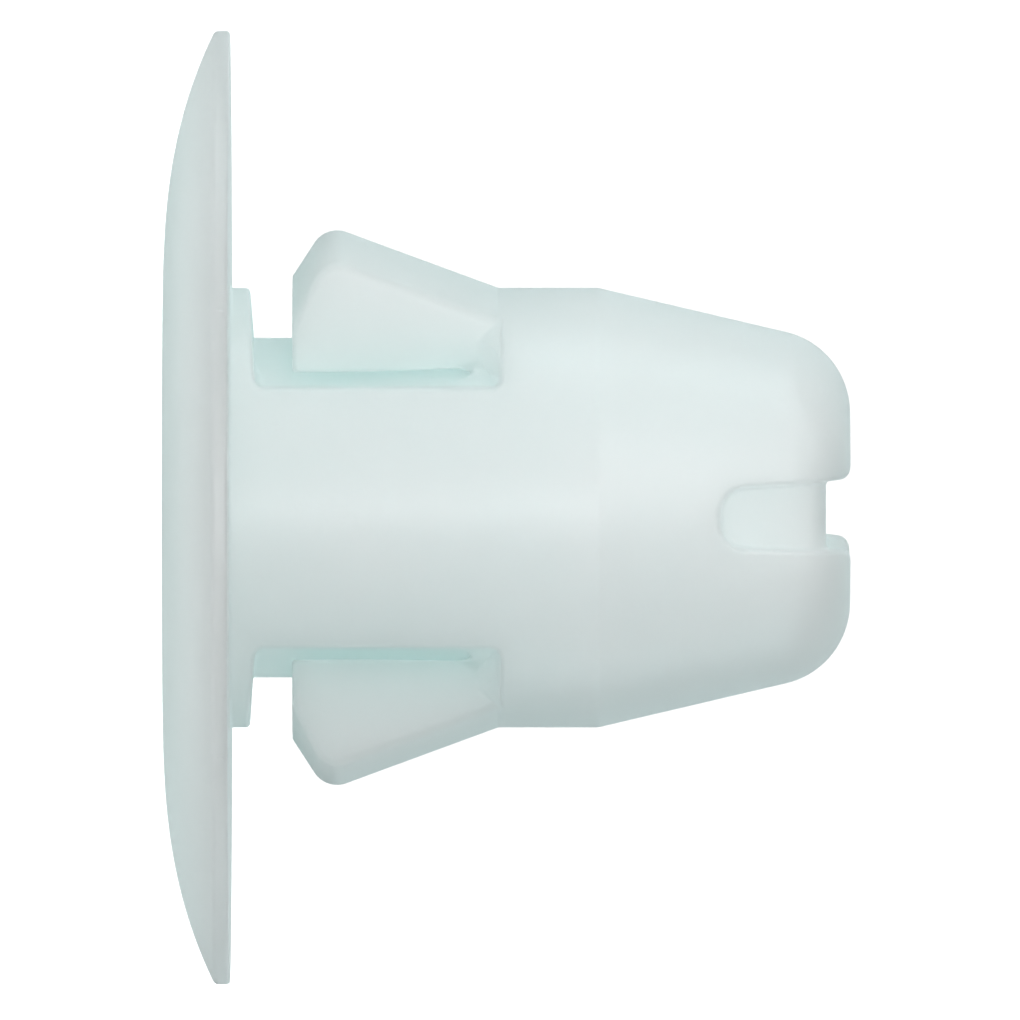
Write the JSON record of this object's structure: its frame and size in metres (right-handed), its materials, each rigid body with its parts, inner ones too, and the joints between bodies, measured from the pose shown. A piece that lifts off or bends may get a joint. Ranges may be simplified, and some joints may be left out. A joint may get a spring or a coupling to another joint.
{
  "type": "panel nut",
  "caption": "One-piece nylon panel nut with a low domed flange, a round shank with opposed spring wings in windows, a tapered grooved nose and a plain bore for a tapping screw.",
  "frame": {"origin": "centre of the crown's flat land, on the screw axis, where the nut stands on its head", "axes": "+Z along the screw axis from the crown to the nose; the spring wings are on the +X and -X sides, and the nose groove runs along Y"},
  "size_m": [0.022, 0.022, 0.0158],
  "materials": {
    "natural_nylon": "satin, milky natural nylon as moulded"
  },
  "bodies": {
    "root": {"panel_nut": "natural_nylon"}
  },
  "joints": []
}
